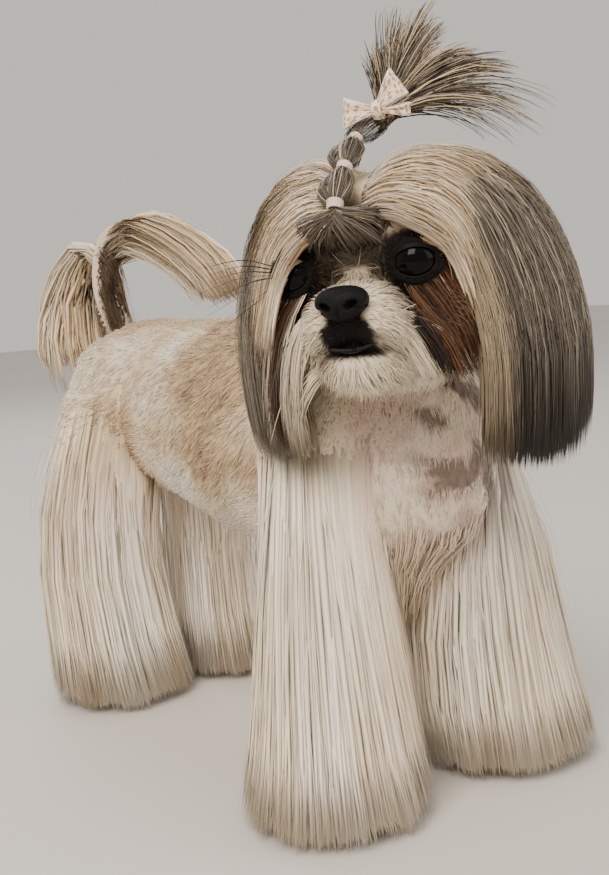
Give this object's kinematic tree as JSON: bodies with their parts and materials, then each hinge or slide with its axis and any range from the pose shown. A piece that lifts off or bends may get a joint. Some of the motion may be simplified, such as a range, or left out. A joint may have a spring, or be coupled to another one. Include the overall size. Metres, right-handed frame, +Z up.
{
  "type": "shih tzu",
  "caption": "Standing shih tzu, life size, head turned to its right, long coat on legs, ears and tail, topknot tied with bands and a bow.",
  "frame": {"origin": "middle of the part's box at the floor that the soles stand on", "axes": "+Z up, the dog's body faces -Y, its left side is +X; the head is turned towards -X"},
  "size_m": [0.2202, 0.493, 0.4122],
  "materials": {
    "body_coat": "short clipped hair, cream with tan patches",
    "head_coat": "soft hair, cream with a brown mask",
    "nose_leather": "black, damp, finely grained",
    "eye": "dark brown, wet gloss",
    "ear_coat": "long silky hair, grey brown with near black ends",
    "leg_coat": "long straight white hair, trimmed level at the floor",
    "tail_coat": "long silky cream hair, dark inside the curl",
    "topknot_coat": "long silky grey hair, tied up",
    "elastic": "satin",
    "ribbon": null
  },
  "bodies": {
    "root": {"torso": "body_coat", "neck": "body_coat", "head": "head_coat", "lower_jaw": "head_coat", "nose": "nose_leather", "eye_left": "eye", "eye_right": "eye", "ear_left": "ear_coat", "ear_right": "ear_coat", "leg_front_left": "leg_coat", "leg_front_right": "leg_coat", "leg_hind_left": "leg_coat", "leg_hind_right": "leg_coat", "tail_root": "tail_coat", "tail_arch": "tail_coat", "tail_tip": "tail_coat", "forelock": "topknot_coat", "topknot": "topknot_coat", "band_low": "elastic", "band_mid": "elastic", "band_high": "elastic", "bow": "ribbon"}
  },
  "joints": []
}
